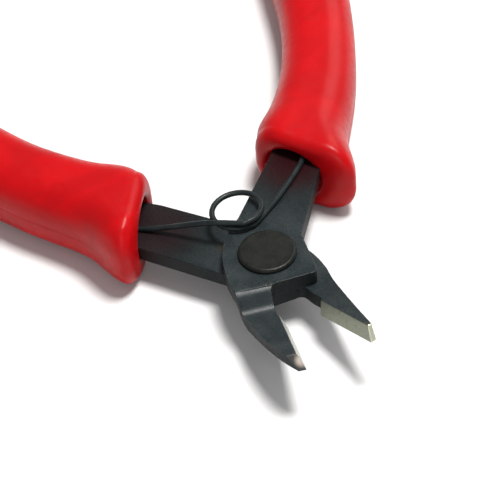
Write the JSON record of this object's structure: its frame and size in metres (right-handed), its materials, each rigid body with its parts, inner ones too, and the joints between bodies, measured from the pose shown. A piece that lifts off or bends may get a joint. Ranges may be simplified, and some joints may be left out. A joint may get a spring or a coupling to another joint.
{
  "type": "flush cutter",
  "caption": "Spring-opened flush cutter with angled, bevel-ground jaws, blackened stamped levers on a round rivet and red moulded grips.",
  "frame": {"origin": "centre of the flat disc on the rivet's tail side, on the pivot axis", "axes": "+X along the centreline towards the jaw tips, +Y towards the lower lever's jaw, +Z along the pivot axis out of the rivet's head"},
  "size_m": [0.1215, 0.0886, 0.0125],
  "materials": {
    "blackened_steel": "blackened, satin, bare on the ground faces",
    "rivet_steel": "blackened, satin",
    "spring_steel": "blackened, satin",
    "grip_plastic": "soft moulded plastic, satin gloss"
  },
  "bodies": {
    "upper_lever": {"upper_blade": "blackened_steel", "pivot_rivet": "rivet_steel", "rivet_washer": "rivet_steel", "return_spring": "spring_steel", "upper_grip": "grip_plastic"},
    "lower_lever": {"lower_blade": "blackened_steel", "lower_grip": "grip_plastic"}
  },
  "joints": [
    {"name": "pivot", "type": "hinge", "parent": "upper_lever", "child": "lower_lever", "pos_m": [0, 0, 0.00346], "axis": [0, 0, -1], "range_deg": [0, 25], "stiffness_Nm_per_rad": 0.1, "deforming": ["return_spring"]}
  ]
}
